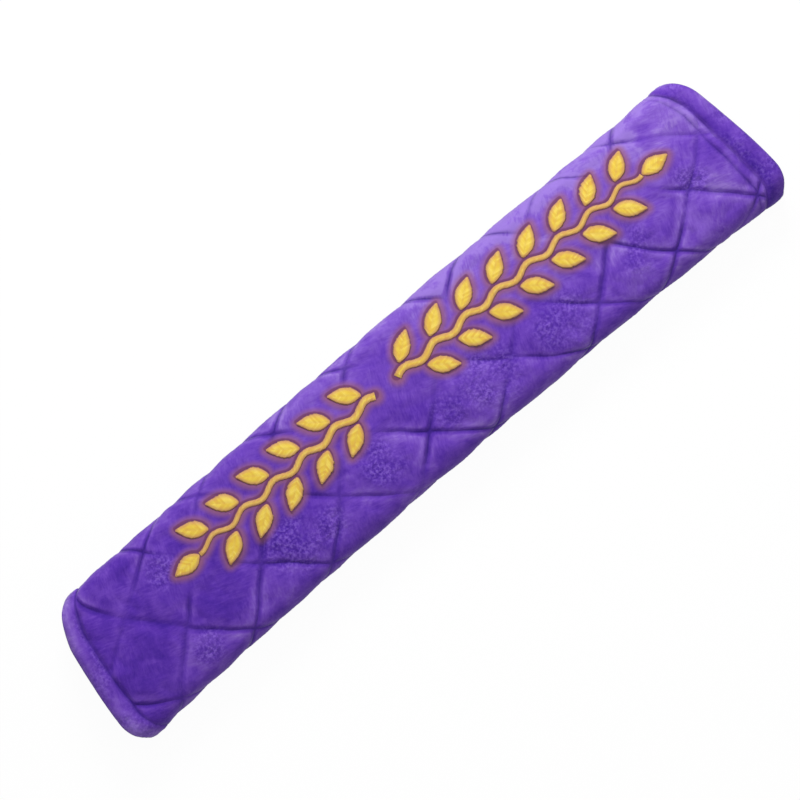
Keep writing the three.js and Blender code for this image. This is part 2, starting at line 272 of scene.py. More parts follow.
def cell_noise(a, b, cell, seed):
    """Smooth random values from -1 to 1 over a plane, a new one every `cell` millimetres."""
    table = np.random.default_rng(seed).uniform(-1, 1, (256, 256))
    u = np.asarray(a) / cell + 1000.37
    v = np.asarray(b) / cell + 1000.61
    i, j = np.floor(u).astype(int), np.floor(v).astype(int)
    s, t = u - i, v - j
    s, t = s * s * (3 - 2 * s), t * t * (3 - 2 * t)
    near = table[i % 256, j % 256] * (1 - s) + table[(i + 1) % 256, j % 256] * s
    far = table[i % 256, (j + 1) % 256] * (1 - s) + table[(i + 1) % 256, (j + 1) % 256] * s
    return near * (1 - t) + far * t


def stray(a, b, noises):
    """A sum of smooth random values, each given as height, cell and seed."""
    return sum(height * cell_noise(a, b, cell, seed) for height, cell, seed in noises)


def uneven(a, b, mean, spread, cell, seed, least):
    """A share that varies smoothly over a plane, from `least` to 1."""
    return np.clip(mean + spread * cell_noise(a, b, cell, seed), least, 1)


def seam_family(seams, side):
    """The seams of one direction, carried on at the usual pitch past both ends of the face."""
    first, last = seams[0][0], seams[-1][0]
    before = [(first - DIAMOND_LENGTH * n, MEAN_LEAN) for n in (3, 2, 1)]
    after = [(last + DIAMOND_LENGTH * n, MEAN_LEAN) for n in (1, 2, 3)]
    return [(x, side * lean) for x, lean in before + list(seams) + after]


def quilting(along, around):
    """Distance to the nearest quilting seam, how many seams of each family lie behind a point,
    with the share of the way to the next one, and a random value for each diamond."""
    # The seams were placed on the bowed pad, whose middle line differs from the pattern's.
    y = around - face_middle + BOW * (1 - (along / half_length) ** 2) + shift_y
    y_near = LEAN_REACH * np.tanh(y / LEAN_REACH)
    waver = stray(along, around, SEAM_STRAY)
    nearest = np.full(np.broadcast(along, around).shape, 1e3)
    phases = []
    for seams, side in ((FALLING_SEAMS, -1), (RISING_SEAMS, 1)):
        mean = side * MEAN_LEAN
        lines = []
        for place, lean in seam_family(seams, side):
            lines.append(place + mean * y + (lean - mean) * y_near + waver)
            nearest = np.minimum(nearest, np.abs(along - lines[-1]) / math.hypot(1, lean))
        phases.append(sum(ramp(along, low, high) for low, high in zip(lines, lines[1:])))
    falling, rising = (phase.astype(int) for phase in phases)
    diamond = np.random.default_rng(DIAMOND_SEED).uniform(-1, 1, (32, 32))[falling, rising]
    return nearest, phases, diamond


def stem_height(distance):
    return SPRIG_Y + STEM_WAVE * np.sin(2 * math.pi * distance / LEAF_PITCH)


def sprig_parts(side, root, tip):
    """Node name, middle line and half width of a sprig's stem and leaves, on the face."""
    growth = math.copysign(1, tip - root)
    stem_length = abs(tip - root) - LEAF_LENGTH - FACE_GAP

    def stem(share):
        half = STEM_WIDTH / 2 * (1 - STEM_TAPER * share)
        return root + growth * share * stem_length, stem_height(share * stem_length), half

    def leaf(distance, up_down):
        angle = LEAF_ANGLE * up_down
        clear = (STEM_WIDTH / 2 + FACE_GAP + LEAF_STANDOFF * LEAF_WIDTH) * up_down

        def line(share):
            x = root + growth * (distance + share * LEAF_LENGTH * math.cos(angle))
            y = stem_height(distance) + clear + share * LEAF_LENGTH * math.sin(angle)
            swell = LEAF_TIP + (1 - LEAF_TIP) * np.sin(math.pi * share**LEAF_BELLY)
            return x, y, LEAF_WIDTH / 2 * swell

        return line

    parts = [(f"embroidered_stem_{side}", stem, stem_length)]
    spots = int((stem_length - LEAF_PITCH / 4) // (LEAF_PITCH / 2))
    for spot in range(spots):
        up_down = 1 if spot % 2 == 0 else -1
        line = leaf((spot + 0.5) * LEAF_PITCH / 2, up_down)
        parts.append((f"embroidered_leaf_{side}_{spot + 1:02d}", line, LEAF_LENGTH))
    tip_leaf = leaf(stem_length + FACE_GAP, 0)
    parts.append((f"embroidered_leaf_{side}_{spots + 1:02d}", tip_leaf, LEAF_LENGTH))
    return parts


ALL_PARTS = [part for sprig in SPRIGS for part in sprig_parts(*sprig)]


FAR = 30.0
STITCH_SAMPLING = 1.2


def stitch_distance(along, around):
    """Distance from points of the face to the edge of the nearest embroidered area."""
    nearest = np.full(np.broadcast(along, around).shape, FAR)
    y = around - face_middle
    for _, line, length in ALL_PARTS:
        for share in np.linspace(0, 1, max(8, int(length / STITCH_SAMPLING))):
            cx, cy, half = line(share)
            nearest = np.minimum(nearest, np.hypot(along - cx, y - cy) - half)
    return nearest


def stitch_nearness(along, around):
    """From 0 well away from the embroidery to 1 at its edge, and a little more within."""
    return np.clip(1 - stitch_distance(along, around) / STITCH_REACH, 0, 1.2)


# Half width of the band that the embroidery flattens
band_half = LEAF_LENGTH * math.sin(LEAF_ANGLE) + LEAF_WIDTH / 2 + STEM_WAVE + BAND_MARGIN


def quilt_share(along, around):
    """Share of the quilting's depth that the dense embroidery and the loop tape leave."""
    from_stems = np.abs(around - face_middle - SPRIG_Y)
    across = 1 - smooth(from_stems, band_half - BAND_FADE, band_half + BAND_SPILL)
    beyond = np.maximum(SPRIGS[0][2] - along, along - SPRIGS[1][2])
    band = across * (1 - smooth(beyond, 0, BAND_END_FADE))
    tape_end = TAPE_EDGE + TAPE_WIDTH
    under_tape = smooth(girth - around, tape_end, tape_end + BAND_FADE)
    return (1 - (1 - BAND_SEAM) * band) * under_tape


def pillow_sink(distance):
    return SEAM_DEPTH * np.clip(1 - distance / PILLOW_REACH, 0, 1) ** 2


def hem_sink(inset, hem, depth, steepness):
    """How far a hem and the field beside it lie below the padding: the hem's nose is round, and
    both fall to the hem's seam."""
    full = HEM_NOSE_SHARE * hem
    nose = HEM_NOSE * np.clip(1 - inset / full, 0, 1) ** 2
    seam = depth * np.clip((inset - full) / (hem - full), 0, 1) ** steepness[0]
    field = depth * np.clip(1 - (inset - hem) / PILLOW_REACH, 0, 1) ** steepness[1]
    return np.where(inset < full, nose, np.where(inset < hem, seam, field))


def hem_waver(along, around):
    """How far an end hem's seam strays from its line."""
    end = 50 * np.sign(along)
    return stray(around, end, HEM_STRAY)


def insets(along, around):
    """How far points of the pattern lie from the nearest end and from the nearest flap's edge."""
    return half_length - np.abs(along), np.minimum(around, girth - around)


def new_piece(name, points, faces, material=None):
    mesh = bpy.data.meshes.new(name)
    mesh.from_pydata([tuple(p) for p in points.reshape(-1, 3).tolist()], [], faces)
    if material:
        mesh.materials.append(material)
    mesh.polygons.foreach_set("use_smooth", [True] * len(mesh.polygons))
    mesh.update()
    piece = bpy.data.objects.new(name, mesh)
    bpy.context.scene.collection.objects.link(piece)
    return piece


def dress(piece, node, slot, **fields):
    """Turns a closed mesh's faces outwards, stores values for its material and puts the piece in
    the place of a CAD node."""
    mesh = piece.data
    points = np.zeros(len(mesh.vertices) * 3)
    mesh.vertices.foreach_get("co", points)
    points = points.reshape(-1, 3)
    mesh.calc_loop_triangles()
    corners = np.array([triangle.vertices for triangle in mesh.loop_triangles])
    a, b, c = (points[corners[:, i]] for i in range(3))
    if (a * np.cross(b, c)).sum() < 0:
        mesh.flip_normals()
    for name, values in fields.items():
        mesh.attributes.new(name, "FLOAT", "POINT").data.foreach_set("value", values)
    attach(piece, "root")
    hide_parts(node)


def rim_place(place, length):
    """Stations past an edge turn round the rim. Returns the place and how far round it is."""
    over = np.maximum(-place, place - length)
    turn = np.clip(over / RIM_RADIUS, 0, math.pi / 2)
    inside = RIM_RADIUS * (1 - np.cos(turn))
    place = np.where(place < 0, inside, np.where(place > length, length - inside, place))
    return place, np.sin(turn)


def stations(spans):
    """Even stations over spans given as (start, end, step), and a few more round each rim."""
    length = spans[-1][1]
    rim = np.linspace(RIM_RADIUS * math.pi / 2, 0, RIM_LINES, endpoint=False)
    runs = [np.linspace(low, high, round((high - low) / step) + 1)[:-1] for low, high, step in spans]
    return np.concatenate([-rim, *runs, [length], (length + rim)[::-1]])


def grid_quads(columns, rows, start, flip):
    a = (np.arange(rows - 1)[:, None] * columns + np.arange(columns - 1)[None, :]).ravel() + start
    quads = np.stack([a, a + 1, a + 1 + columns, a + columns], axis=1)
    return (quads[:, ::-1] if flip else quads).tolist()


def zip_edges(outer, outer_places, inner, inner_places):
    """Triangles between two edges that have different numbers of vertices."""
    faces, i, j = [], 0, 0
    while i < len(outer) - 1 or j < len(inner) - 1:
        inner_done = j == len(inner) - 1
        if inner_done or (i < len(outer) - 1 and outer_places[i + 1] <= inner_places[j + 1]):
            faces.append((outer[i + 1], outer[i], inner[j]))
            i += 1
        else:
            faces.append((inner[j], inner[j + 1], outer[i]))
            j += 1
    return faces


def closed_sheet(name, outer, inner, material):
    """A closed folded sheet from two grids, each given as (columns, rows, points)."""
    borders = []
    faces = []
    start = 0
    for columns, rows, points in (outer, inner):
        index = np.arange(len(columns) * len(rows)).reshape(len(rows), len(columns)) + start
        faces += grid_quads(len(columns), len(rows), start, start > 0)
        start += index.size
        borders.append([
            (index[0], columns),
            (index[:, -1], rows),
            (index[-1, ::-1], -columns[::-1]),
            (index[::-1, 0], -rows[::-1]),
        ])
    for (a, a_places), (b, b_places) in zip(*borders):
        faces += zip_edges(a.tolist(), a_places.tolist(), b.tolist(), b_places.tolist())
    points = np.concatenate([outer[2].reshape(-1, 3), inner[2].reshape(-1, 3)])
    return new_piece(name, points, faces, material)


def spline_weights(places, origin, step, count):
    """Cubic B-spline weights that read an even row of values at other places."""
    u = (places - origin) / step
    i = np.clip(np.floor(u).astype(int), 0, count - 2)
    f = u - i
    cubes = [(1 - f) ** 3, 3 * f**3 - 6 * f**2 + 4, -3 * f**3 + 3 * f**2 + 3 * f + 1, f**3]
    weights = np.zeros((len(places), count))
    for offset, cube in zip((-1, 0, 1, 2), cubes):
        np.add.at(weights, (np.arange(len(places)), np.clip(i + offset, 0, count - 1)), cube / 6)
    return weights


SIM_STEP = 1.8
SIM_SCALE = 10  # cloth behaves better a few metres long
SIM_FRAMES = 20
HELD_SHARE = 0.3  # cloth that keeps less of the quilting's depth than this is held down
FULL_PILLOW = 92  # percentile of the rise that counts as the quilting's full depth


def blown_pillows(columns, rows):
    """Cloth held down along its seams and blown up from below. Returns how far each point of the
    pattern moved along, around and outwards, in millimetres."""
    sim_columns = np.linspace(-half_length, half_length, round(LENGTH / SIM_STEP) + 1)
    sim_rows = np.linspace(0, girth, round(girth / SIM_STEP) + 1)
    along, around = np.meshgrid(sim_columns, sim_rows)
    inset_x, inset_t = insets(along, around)
    distance, _, _ = quilting(along, around)
    in_field = (inset_x > END_HEM) & (inset_t > FLAP_HEM)
    held = (distance < 0.5 * SIM_STEP) | ~in_field | (quilt_share(along, around) < HELD_SHARE)
    start = fold(along, around, PADDING - SEAM_DEPTH)
    faces = grid_quads(len(sim_columns), len(sim_rows), 0, False)
    cloth_piece = new_piece("pillow_cloth", start * SIM_SCALE, faces)
    pins = cloth_piece.vertex_groups.new(name="seams")
    pins.add(np.flatnonzero(held.ravel()).tolist(), 1.0, "REPLACE")
    cloth = cloth_piece.modifiers.new("pillows", "CLOTH")
    settings = cloth.settings
    settings.quality = 6
    settings.mass = 0.3
    settings.tension_stiffness = settings.compression_stiffness = 12
    settings.shear_stiffness = 5
    settings.bending_stiffness = 0.3
    settings.use_pressure = True
    settings.uniform_pressure_force = 4
    settings.shrink_min = -0.04
    settings.vertex_group_mass = "seams"
    settings.effector_weights.gravity = 0
    cloth.collision_settings.use_collision = False
    cloth.point_cache.frame_start = 1
    cloth.point_cache.frame_end = SIM_FRAMES
    scene = bpy.context.scene
    for number in range(1, SIM_FRAMES + 1):
        scene.frame_set(number)
    shown = cloth_piece.evaluated_get(bpy.context.evaluated_depsgraph_get())
    moved = np.zeros(len(shown.data.vertices) * 3)
    shown.data.vertices.foreach_get("co", moved)
    moved = moved.reshape(start.shape) / SIM_SCALE
    scene.frame_set(1)
    bpy.data.objects.remove(cloth_piece)
    away = (moved - start) / MM
    _, _, out_y, out_z = section_at(around)
    along_around_out = [
        away[..., 0],
        away[..., 1] * out_z - away[..., 2] * out_y,
        away[..., 1] * out_y + away[..., 2] * out_z,
    ]
    full_rise = np.percentile(along_around_out[2][~held], FULL_PILLOW)
    wide = spline_weights(columns, -half_length, LENGTH / (len(sim_columns) - 1), len(sim_columns))
    tall = spline_weights(rows, 0, girth / (len(sim_rows) - 1), len(sim_rows))
    return [tall @ shift @ wide.T * SEAM_DEPTH / full_rise for shift in along_around_out]


def linear(hex_colour):
    """The linear colour of an sRGB hex value."""
    channels = [int(hex_colour[i : i + 2], 16) / 255 for i in (1, 3, 5)]
    return [c / 12.92 if c <= 0.04045 else ((c + 0.055) / 1.055) ** 2.4 for c in channels] + [1.0]


def add_node(owner, kind, sockets=None, stops=(), **properties):
    """Adds a shader node with its properties. A socket given as (node, output) is linked and any
    other is set to its value. stops are the places and colours of a ramp."""
    tree = owner.node_tree
    node = tree.nodes.new("ShaderNode" + kind)
    for name, value in properties.items():
        setattr(node, name, value)
    for name, value in (sockets or {}).items():
        if isinstance(value, tuple) and isinstance(value[0], bpy.types.Node):
            tree.links.new(value[0].outputs[value[1]], node.inputs[name])
        else:
            node.inputs[name].default_value = value
    for number, (position, colour) in enumerate(stops):
        elements = node.color_ramp.elements
        element = elements[number] if number < len(elements) else elements.new(position)
        element.position = position
        element.color = linear(colour)
    return node


def new_material(name):
    material = bpy.data.materials.new(name)
    material.use_nodes = True
    material.node_tree.nodes.clear()
    return material


def finish_material(material, shader, output="BSDF"):
    add_node(material, "OutputMaterial", {"Surface": (shader, output)})
    return material


# Sizes of the plush's marks
SEAM_LINE_REACH = 1.9
SEAM_LINE_FALL = 2.6  # above 1 a seam's line is thin with a soft skirt
SEAM_JOINING = 2.5  # how far from a crossing its two lines run together
SEAM_HIGHLIGHT_BAND = (0.8, 1.6, 4.5)  # beside a seam, where the painted highlight starts, peaks and ends
STROKE_SIZE = 0.9
STROKE_STRETCH = 5
STROKE_ANGLES = (66, -20)
PLUSH_NOISES = [
    ("clouds", 8, {"Detail": 3, "Distortion": 1.0}),
    ("sweeps", 17, {}),
    ("tufts", 1.2, {"Detail": 2, "Roughness": 0.6}),
    ("fibres", 0.45, {"Detail": 2, "Roughness": 0.7}),
]


def polyester_plush():
    """Violet polyester plush, knitted, sheared short and brushed. Painted light makes it pale and
    painted shade deep and saturated, in a gradient across and along the pad. Along a seam the pile
    parts on a thin dark line deepened by painted shade, with a painted highlight on the pile beside
    it. Round the embroidery the pile is crushed to a mauve haze, partly painted light bounced from the
    thread, and along the upper side of the stitches a painted shadow and the backing thread make a thin
    maroon line."""
    material = new_material("brushed_polyester_plush")
    place = (add_node(material, "TexCoord"), "Object")
    fields = {
        name: (add_node(material, "Attribute", attribute_name=name), "Fac")
        for name in (
            "nap", "tufted", "crease", "near_stitch", "falling", "rising", "seam", "hem",
            "hem_depth", "shoulder", "shaded_edge",
        )
    }
    noises = {}
    for name, size, settings in PLUSH_NOISES:
        sockets = {"Vector": place, "Scale": 1 / (size * MM), **settings}
        noises[name] = (add_node(material, "TexNoise", sockets), "Fac")

    # Distances in millimetres: to the nearest quilting seam, the hem's seam and the crease by it
    seam_distances = []
    for family in ("falling", "rising"):
        share = add_node(material, "Math", {0: fields[family], 1: 0.5}, operation="PINGPONG")
        seam_distances.append(
            add_node(material, "Math", {0: (share, 0), 1: SEAM_PITCH}, operation="MULTIPLY")
        )
    from_seam = add_node(
        material,
        "Math",
        {0: (seam_distances[0], 0), 1: (seam_distances[1], 0), 2: SEAM_JOINING},
        operation="SMOOTH_MIN",
    )
    from_hem = add_node(material, "Math", {0: fields["hem"]}, operation="ABSOLUTE")
    past_shoulder = add_node(material, "Math", {0: fields["hem"], 1: -SHOULDER}, operation="ADD")
    from_shoulder = add_node(material, "Math", {0: (past_shoulder, 0)}, operation="ABSOLUTE")

    # Dark lines where the pile parts, deepened by painted shade in the valleys, and a painted highlight
    # on the pile beside a seam
    dark_line = fields["crease"]
    for distance, depth in ((from_seam, "seam"), (from_hem, "hem_depth"), (from_shoulder, "shoulder")):
        near = add_node(
            material, "MapRange", {"Value": (distance, 0), "From Min": SEAM_LINE_REACH, "From Max": 0}
        )
        skirted = add_node(material, "Math", {0: (near, 0), 1: SEAM_LINE_FALL}, operation="POWER")
        line = add_node(material, "Math", {0: (skirted, 0), 1: fields[depth]}, operation="MULTIPLY")
        both = add_node(material, "Math", {0: dark_line, 1: (line, 0)}, operation="MAXIMUM")
        dark_line = (both, 0)
    highlight_start, highlight_peak, highlight_end = SEAM_HIGHLIGHT_BAND
    seam_highlight = fields["seam"]
    for foot in (highlight_start, highlight_end):
        flank = add_node(
            material,
            "MapRange",
            {"Value": (from_seam, 0), "From Min": foot, "From Max": highlight_peak},
            interpolation_type="SMOOTHSTEP",
        )
        both = add_node(material, "Math", {0: seam_highlight, 1: (flank, 0)}, operation="MULTIPLY")
        seam_highlight = (both, 0)

    # Which way the pile lies: soft clouds, and short strokes of the brush at one angle or another
    strokes = []
    for angle in STROKE_ANGLES:
        brushed = add_node(
            material,
            "Mapping",
            {"Vector": place, "Rotation": (0, 0, math.radians(angle)), "Scale": (STROKE_STRETCH, 1, 1)},
            vector_type="TEXTURE",
        )
        strokes.append(
            add_node(
                material,
                "TexNoise",
                {
                    "Vector": (brushed, "Vector"),
                    "Scale": 1 / (STROKE_SIZE * MM),
                    "Detail": 3,
                    "Distortion": 0.7,
                },
            )
        )
    swept_share = add_node(
        material, "MapRange", {"Value": noises["sweeps"], "From Min": 0.42, "From Max": 0.58}
    )
    stroke = add_node(
        material, "Mix", {0: (swept_share, 0), 2: (strokes[0], "Fac"), 3: (strokes[1], "Fac")}
    )
    tone = fields["nap"]
    for source, weight in ((noises["clouds"], 0.7), ((stroke, 0), 0.5), (seam_highlight, 0.24)):
        mixed = add_node(material, "Math", {0: source, 1: weight, 2: tone}, operation="MULTIPLY_ADD")
        tone = (mixed, 0)
    nap_and_light_colour = add_node(
        material,
        "ValToRGB",
        {"Fac": tone},
        stops=[
            (0.1, "#3D1A8E"), (0.38, "#532BA1"), (0.62, "#683FB1"), (0.86, "#7D58BE"), (1.0, "#8F70C8"),
        ],
    )

    # Tufts: painted highlight on the fibre ends over painted shade in the gaps
    tuft_light_and_shade = add_node(
        material,
        "ValToRGB",
        {"Fac": noises["tufts"]},
        stops=[(0.36, "#361782"), (0.5, "#5C36A8"), (0.64, "#8966CC")],
    )
    tuft_amount = add_node(
        material, "Math", {0: fields["tufted"], 1: 0.55, 2: 0.04}, operation="MULTIPLY_ADD"
    )
    with_tufts = add_node(
        material,
        "Mix",
        {0: (tuft_amount, 0), 6: (nap_and_light_colour, "Color"), 7: (tuft_light_and_shade, "Color")},
        data_type="RGBA",
    )
    dark_amount = add_node(material, "Math", {0: dark_line, 1: 0.85}, operation="MULTIPLY")
    coloured = add_node(
        material, "Mix", {0: (dark_amount, 0), 6: (with_tufts, 2), 7: linear("#32157C")}, data_type="RGBA"
    )

    # The crushed pile's haze round the embroidery, partly painted light bounced from the thread, and then
    # the maroon line on its upper side, painted shadow over the backing thread
    for field, low, high, most, colour in (
        ("near_stitch", 0.3, 1, 0.85, "#8C5870"),
        ("shaded_edge", 0.87, 0.97, 0.65, "#5E2E56"),
    ):
        amount = add_node(
            material,
            "MapRange",
            {"Value": fields[field], "From Min": low, "From Max": high, "To Max": most},
            interpolation_type="SMOOTHSTEP",
        )
        coloured = add_node(
            material, "Mix", {0: (amount, 0), 6: (coloured, 2), 7: linear(colour)}, data_type="RGBA"
        )

    # Relief too fine for the mesh, each layer over the one before
    normal = {}
    for height, strength, depth, sunk in (
        (noises["fibres"], 0.35, 0.4, False),
        (noises["tufts"], (tuft_amount, 0), 0.7, False),
        (dark_line, 0.5, 0.8, True),
    ):
        relief = add_node(
            material,
            "Bump",
            {"Height": height, "Strength": strength, "Distance": depth * MM, **normal},
            invert=sunk,
        )
        normal = {"Normal": (relief, "Normal")}
    shader = add_node(
        material,
        "BsdfPrincipled",
        {
            "Base Color": (coloured, 2),
            "Roughness": 0.9,
            "Specular IOR Level": 0.2,
            "Sheen Weight": 0.55,
            "Sheen Roughness": 0.35,
            "Sheen Tint": linear("#CCC0E0"),
            **normal,
        },
    )
    return finish_material(material, shader)


SHADE_SIZE = 1.2
TWIST_SIZE = 0.4


def rayon_thread():
    """Rayon embroidery thread, laid side by side as satin stitch: silky yellow strands, each of a
    slightly other shade, that turn peach and brown where they dip into the cloth, with painted shade on
    their rounded edges, between the strands and along a leaf's middle groove."""
    material = new_material("satin_stitched_rayon")
    place = (add_node(material, "TexCoord"), "Object")
    strand = add_node(material, "Attribute", attribute_name="strand")
    shade = add_node(material, "TexNoise", {"Vector": place, "Scale": 1 / (SHADE_SIZE * MM), "Detail": 3})
    tone = add_node(
        material, "Math", {0: (shade, "Fac"), 1: 0.6, 2: (strand, "Fac")}, operation="MULTIPLY_ADD"
    )
    body = add_node(
        material,
        "ValToRGB",
        {"Fac": (tone, 0)},
        stops=[(0.25, "#DAAE42"), (0.55, "#E0C240"), (0.9, "#EAD25C")],
    )
    # Peach and brown where the thread dips into the pile, and painted shade on its rounded edges and
    # between strands
    edge = add_node(material, "Attribute", attribute_name="edge")
    dip_and_shade = add_node(
        material, "Mix", {0: (edge, "Fac"), 6: (body, "Color"), 7: linear("#BC8664")}, data_type="RGBA"
    )
    twist = add_node(material, "TexNoise", {"Vector": place, "Scale": 1 / (TWIST_SIZE * MM), "Detail": 2})
    bump = add_node(material, "Bump", {"Height": (twist, "Fac"), "Strength": 0.4, "Distance": 0.25 * MM})
    shader = add_node(
        material,
        "BsdfPrincipled",
        {
            "Base Color": (dip_and_shade, 2),
            "Normal": (bump, "Normal"),
            "Roughness": 0.8,
            "Specular IOR Level": 0.15,
            "Sheen Weight": 0.15,
            "Sheen Tint": linear("#FFF2B0"),
        },
    )
    return finish_material(material, shader)


RIB_PITCH = 1.2
HOOK_PITCH = 1.4


def tricot():
    """Warp knitted polyester tricot: fine ribs along the pad with a dull sheen."""
    material = new_material("warp_knitted_tricot")
    place = (add_node(material, "TexCoord"), "Object")
    ribs = add_node(
        material,
        "TexWave",
        {"Vector": place, "Scale": 1 / (20 * RIB_PITCH * MM), "Distortion": 0.4},
        bands_direction="Y",
    )
    tone = add_node(
        material, "ValToRGB", {"Fac": (ribs, "Fac")}, stops=[(0.1, "#3B2778"), (0.9, "#513C92")]
    )
    bump = add_node(material, "Bump", {"Height": (ribs, "Fac"), "Strength": 0.3, "Distance": 0.2 * MM})
    shader = add_node(
        material,
        "BsdfPrincipled",
        {
            "Base Color": (tone, "Color"),
            "Normal": (bump, "Normal"),
            "Roughness": 0.75,
            "Sheen Weight": 0.2,
        },
    )
    return finish_material(material, shader)


def nylon_tape():
    """Woven nylon fastener tape: a dark matte weave with rows of hooks or loops."""
    material = new_material("woven_nylon_tape")
    place = (add_node(material, "TexCoord"), "Object")
    hooks = add_node(
        material, "TexVoronoi", {"Vector": place, "Scale": 1 / (HOOK_PITCH * MM), "Randomness": 0.35}
    )
    tone = add_node(
        material, "ValToRGB", {"Fac": (hooks, "Distance")}, stops=[(0.1, "#4A3E66"), (0.6, "#2A2340")]
    )
    bump = add_node(
        material, "Bump", {"Height": (hooks, "Distance"), "Strength": 0.6, "Distance": 0.5 * MM}
    )
    shader = add_node(
        material,
        "BsdfPrincipled",
        {"Base Color": (tone, "Color"), "Normal": (bump, "Normal"), "Roughness": 0.7},
    )
    return finish_material(material, shader)


def paper_floor():
    """Matte white studio paper: white to the camera, apart from the object's soft shadow."""
    material = new_material("white_studio_paper")
    light_path = add_node(material, "LightPath")
    paper = add_node(material, "BsdfDiffuse", {"Color": linear("#C8C8C8")})
    glow = add_node(material, "Emission", {"Color": (1, 1, 1, 1), "Strength": 1.03})
    share = add_node(material, "Math", {0: (light_path, "Is Camera Ray"), 1: 0.93}, operation="MULTIPLY")
    shader = add_node(material, "MixShader", {0: (share, 0), 1: (paper, "BSDF"), 2: (glow, "Emission")})
    return finish_material(material, shader, "Shader")


# Patches of the face where the pile stands up in tufts, as x, y and radius
TUFTED_PATCHES = [
    (-68, -14, 13), (-52, -17, 8), (-22, -12, 10), (8, -14, 8), (28, -14, 14), (62, -16, 13),
    (100, -13, 10), (133, -6, 8), (-116, -20, 8), (-112, 12, 8),
]
TUFTED_BLUR = (0.4, 1.2)  # shares of the radius between which a patch fades out

# Patches where a hand has swept the pile, as x, y, radius and how much paler it looks there
SWEPT_PATCHES = [
    (-141, 14, 6, -0.14), (-110, 25, 6, -0.12), (-129, -3, 10, -0.14), (-139, -11, 8, -0.08),
    (-101, -8, 8, -0.1), (-71, -7, 9, -0.14), (-51, -8, 6, -0.1), (-124, 22, 8, -0.12),
    (-97, 24, 8, 0.04), (-61, 25, 9, 0.12), (-37, 24, 9, 0.06), (-118, -23, 8, 0.1),
    (-86, -22, 10, 0.1), (-48, -22, 10, 0.1), (7, -11, 8, -0.1), (52, -22, 7, -0.06),
    (81, -13, 8, -0.16), (37, -13, 6, -0.12), (100, -13, 7, -0.12), (133, 17, 5, -0.2),
    (143, -1, 7, -0.16), (29, 25, 9, 0.08), (62, 23, 10, 0.05), (90, 23, 9, 0.08),
    (10, 26, 8, 0.12), (139, 24, 8, -0.12), (141, -12, 7, 0.1), (22, -13, 8, 0.08),
    (114, -17, 7, 0.02), (124, -23, 8, 0.08), (143, 9, 6, -0.04),
]
SWEPT_BLUR = (0.3, 1.3)
SWEPT_STRAY = [(0.35, 5, 23)]


def pile_fields(along, around):
    """What the plush's material reads at each point of the pattern. nap runs from deep to pale,
    with painted light and shade in it as well as the pile's own tone; falling and rising count the seams
    of a family that lie behind, and hem is the distance past the end hem's seam. seam, hem_depth,
    shoulder and crease say how deep those lines are there.
    tufted, near_stitch and shaded_edge run from 0 to about 1."""
    y = around - face_middle
    inset_x, inset_t = insets(along, around)
    _, phases, diamond = quilting(along, around)
    in_field = smooth(inset_x - END_HEM, *FIELD_START) * smooth(inset_t - FLAP_HEM, *FIELD_START)
    seam_depth = uneven(along, around, *SEAM_UNEVEN)
    hem_band = 1 - smooth(inset_x, END_HEM - 1, END_HEM)

    tufted = np.zeros_like(hem_band)
    for patch_x, patch_y, radius in TUFTED_PATCHES:
        reach = np.hypot(along - patch_x, y - patch_y) / radius
        tufted = np.maximum(tufted, 1 - smooth(reach, *TUFTED_BLUR))
    tufted = tufted * (0.65 + 0.5 * cell_noise(along, around, 6, 21))
    tufted = np.maximum(tufted, hem_band * (0.25 + 0.5 * cell_noise(along, around, 5, 22)))

    # Painted light and shade: paler towards the rear edge, the right end and the folds, deeper towards
    # the front edge and the left end
    across = np.clip(y / half_width, -1.2, 1.2)
    lengthwise = np.tanh(along / NAP_LENGTH)
    nap = NAP_MIDDLE + PAINTED_LIGHT_ACROSS * across * (1 - PAINTED_LIGHT_TWIST + PAINTED_LIGHT_TWIST * lengthwise)
    nap = nap + PAINTED_SHEEN_TOWARDS_FOLDS * across**2 + PAINTED_LIGHT_ALONG * lengthwise
    nap = nap + NAP_DIAMONDS * diamond * in_field
    ragged = stray(along, around, SWEPT_STRAY)
    for patch_x, patch_y, radius, paler in SWEPT_PATCHES:
        reach = np.hypot(along - patch_x, y - patch_y) / radius + ragged
        nap = nap + paler * (1 - smooth(reach, *SWEPT_BLUR))
    drawn_out = along + 3 * cell_noise(along, around, 9, 25)
    nap = nap + NAP_CLOUDS * cell_noise(drawn_out, around, 12, 24)
    # Painted light on the end hems, and painted shade towards each hem's seam
    hem_painted_light = np.where(along > 0, RIGHT_HEM_PAINTED_LIGHT, LEFT_HEM_PAINTED_LIGHT)
    nap = nap + hem_band * (hem_painted_light - HEM_SEAM_PAINTED_SHADE * smooth(inset_x, *HEM_TURN))

    by_shoulder = smooth(along, *SHOULDER_ALONG) * smooth(inset_t - girth / 2, *SHOULDER_AROUND)
    return {
        "nap": nap,
        "falling": phases[0],
        "rising": phases[1],
        "seam": quilt_share(along, around) * seam_depth * in_field,
        "hem": np.clip(inset_x + hem_waver(along, around) - END_HEM, -6, 6),
        "hem_depth": uneven(along, around, *HEM_UNEVEN),
        "shoulder": SHOULDER_DEPTH * by_shoulder * uneven(along, around, *SHOULDER_UNEVEN),
        "crease": np.exp(-np.abs(inset_t - FLAP_HEM) / CREASE_REACH),
        "tufted": np.clip(tufted, 0, 1),
        "near_stitch": stitch_nearness(along, around),
        "shaded_edge": stitch_nearness(along, around - SHADE_SHIFT),
    }


COLUMN_STEP = 0.8
FACE_STEP = 0.62
UNDER_STEP = 1.3
INNER_STEP = 4.0
INNER_EDGE = 1.7  # from the rim to the inner face's first mesh line
SEEN_FOLD = 0.35  # from this share of a fold on, the mesh is as fine as on the face


